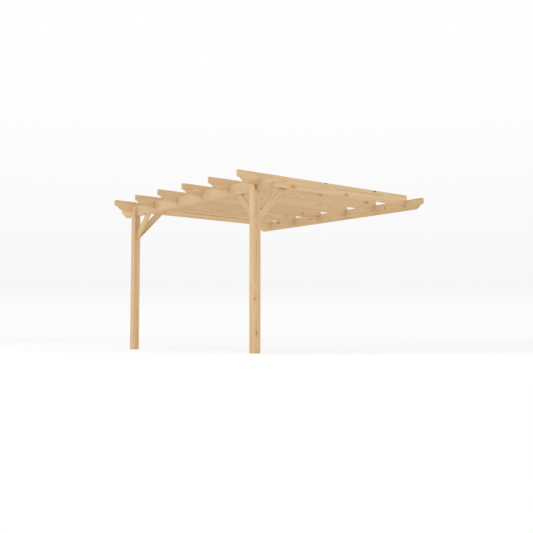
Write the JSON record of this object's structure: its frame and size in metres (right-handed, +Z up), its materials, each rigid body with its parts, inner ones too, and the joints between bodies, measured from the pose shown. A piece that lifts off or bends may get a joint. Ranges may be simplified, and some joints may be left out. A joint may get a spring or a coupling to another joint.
{
  "type": "attached patio cover",
  "caption": "Open timber patio cover: square posts and a front beam with scalloped ends, rafters notched over it and over a wall beam, and sloping knee braces.",
  "frame": {"origin": "on the back face of the wall beam, at the middle of its length and depth", "axes": "+X along the beams, to the right seen from the front; +Y into the wall; +Z up"},
  "size_m": [3.62, 3, 2.185],
  "materials": {
    "post_pine": "planed, unvarnished",
    "beam_pine": "planed, unvarnished",
    "brace_pine": "planed, unvarnished",
    "rafter_pine": "planed, unvarnished",
    "fixings": "zinc plated"
  },
  "bodies": {
    "root": {"beam_brace_left": "brace_pine", "beam_brace_right": "brace_pine", "front_beam": "beam_pine", "post_left": "post_pine", "post_right": "post_pine", "rafter_1": "rafter_pine", "rafter_2": "rafter_pine", "rafter_3": "rafter_pine", "rafter_4": "rafter_pine", "rafter_5": "rafter_pine", "rafter_6": "rafter_pine", "rafter_brace_left": "brace_pine", "rafter_brace_right": "brace_pine", "wall_beam": "beam_pine"}
  },
  "joints": []
}
